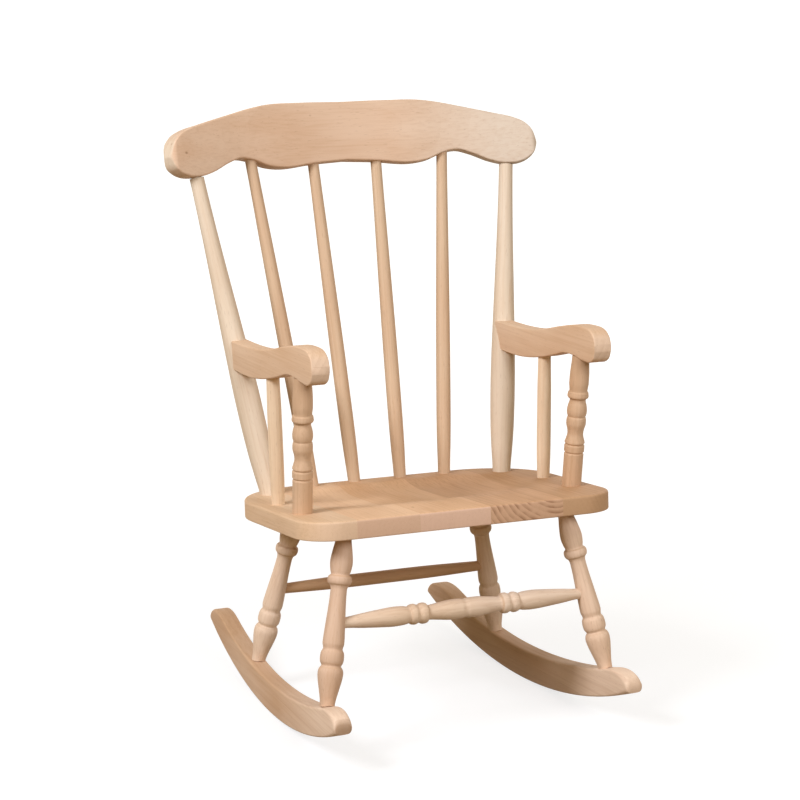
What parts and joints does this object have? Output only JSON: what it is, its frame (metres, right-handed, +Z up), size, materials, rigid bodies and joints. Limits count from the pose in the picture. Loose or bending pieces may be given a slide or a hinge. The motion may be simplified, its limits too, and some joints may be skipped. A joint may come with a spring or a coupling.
{
  "type": "rocking chair",
  "caption": "Child-size Boston rocking chair in bare pale hardwood: scooped plank seat, turned legs, spindle back under a shaped crest rail, scroll arms and curved runners.",
  "frame": {"origin": "on the floor under the middle of the bounding box, with the chair standing in balance on its runners", "axes": "+Z up, -Y the way a sitter faces, +X towards the sitter's left"},
  "size_m": [0.4968, 0.485, 0.7051],
  "materials": {
    "bare_hardwood": "sanded, unfinished"
  },
  "bodies": {
    "root": {"seat": "bare_hardwood", "crest_rail": "bare_hardwood", "rocker_left": "bare_hardwood", "rocker_right": "bare_hardwood", "front_leg_left": "bare_hardwood", "front_leg_right": "bare_hardwood", "rear_leg_left": "bare_hardwood", "rear_leg_right": "bare_hardwood", "back_post_left": "bare_hardwood", "back_post_right": "bare_hardwood", "back_spindle_outer_left": "bare_hardwood", "back_spindle_outer_right": "bare_hardwood", "back_spindle_inner_left": "bare_hardwood", "back_spindle_inner_right": "bare_hardwood", "arm_left": "bare_hardwood", "arm_right": "bare_hardwood", "arm_post_left": "bare_hardwood", "arm_post_right": "bare_hardwood", "arm_spindle_left": "bare_hardwood", "arm_spindle_right": "bare_hardwood", "front_stretcher": "bare_hardwood", "rear_stretcher": "bare_hardwood"}
  },
  "joints": []
}
